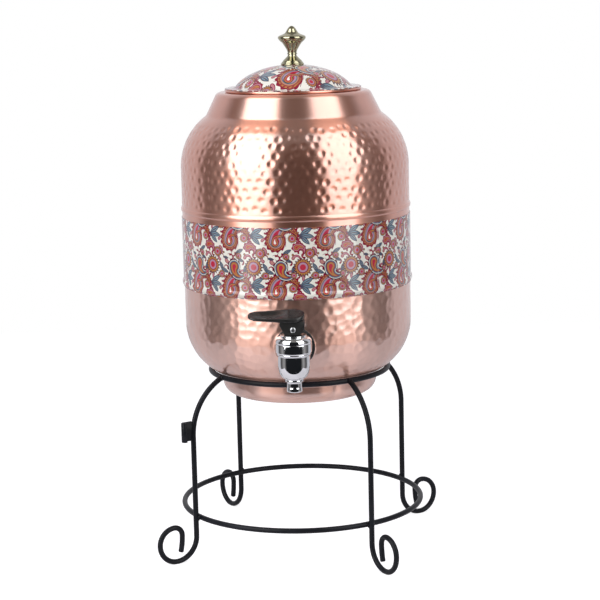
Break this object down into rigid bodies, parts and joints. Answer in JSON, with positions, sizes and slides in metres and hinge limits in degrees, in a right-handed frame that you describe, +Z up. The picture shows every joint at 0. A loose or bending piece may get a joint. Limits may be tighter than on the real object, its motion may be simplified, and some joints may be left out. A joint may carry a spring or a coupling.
{
  "type": "water dispenser",
  "caption": "Hammered copper water vessel with a printed band, a domed lid with a turned knob, a lever tap with its valve and a black wire stand with scrolled feet.",
  "frame": {"origin": "on the vessel's axis at floor level, in the middle of the four feet", "axes": "+Z up along the vessel's axis, the tap faces -Y, +X to the right as seen from the front"},
  "size_m": [0.243, 0.2638, 0.4513],
  "materials": {
    "copper": "hammered satin copper",
    "print": "glossy printed film with a paisley repeat on a cream ground",
    "brass": "polished turned brass",
    "chrome": "polished chrome plate",
    "black_plastic": "glossy moulded plastic",
    "black_wire": "black gloss lacquer on steel wire",
    "rubber": "black rubber",
    "silicone": "translucent white silicone",
    "steel": "plain stainless steel"
  },
  "bodies": {
    "stand": {"stand_top_ring": "black_wire", "stand_lower_ring": "black_wire", "leg_front_left": "black_wire", "leg_front_right": "black_wire", "leg_rear_left": "black_wire", "leg_rear_right": "black_wire", "side_clip": "black_wire"},
    "vessel": {"vessel_lower": "copper", "vessel_upper": "copper", "printed_band": "print", "tap_body": "chrome", "tap_bonnet": "chrome", "stem_seal": "rubber", "valve_spring": "steel", "outer_washer": "rubber", "inner_washer": "rubber", "shank_nut": "steel"},
    "lid": {"lid_dome": "print", "lid_skirt": "copper", "lid_knob": "brass", "knob_washer": "steel", "knob_screw": "steel"},
    "seat": {"seat_cup": "silicone"},
    "stem": {"valve_stem": "steel", "lever_pin": "steel"},
    "lever": {"tap_lever": "black_plastic"}
  },
  "joints": [
    {"name": "vessel_lift", "type": "slide", "parent": "stand", "child": "vessel", "axis": [0, 0, 1], "range_m": [0, 0.05]},
    {"name": "lid_lift", "type": "slide", "parent": "vessel", "child": "lid", "axis": [0, 0, 1], "range_m": [0, 0.06]},
    {"name": "stem_lift", "type": "slide", "parent": "vessel", "child": "seat", "axis": [0, 0, 1], "range_m": [0, 0.00481], "deforming": ["valve_spring"]},
    {"name": "lever_swivel", "type": "hinge", "parent": "seat", "child": "stem", "pos_m": [0, -0.1275, 0.19264], "axis": [0, 0, 1], "range_deg": [-45, 225]},
    {"name": "lever_tilt", "type": "hinge", "parent": "stem", "child": "lever", "pos_m": [0, -0.1275, 0.21359], "axis": [0, 1, 0], "range_deg": [0, 90]}
  ],
  "couplings": [
    {"joint": "stem_lift", "follows": "lever_tilt", "m_per_rad": 0.0030558}
  ]
}
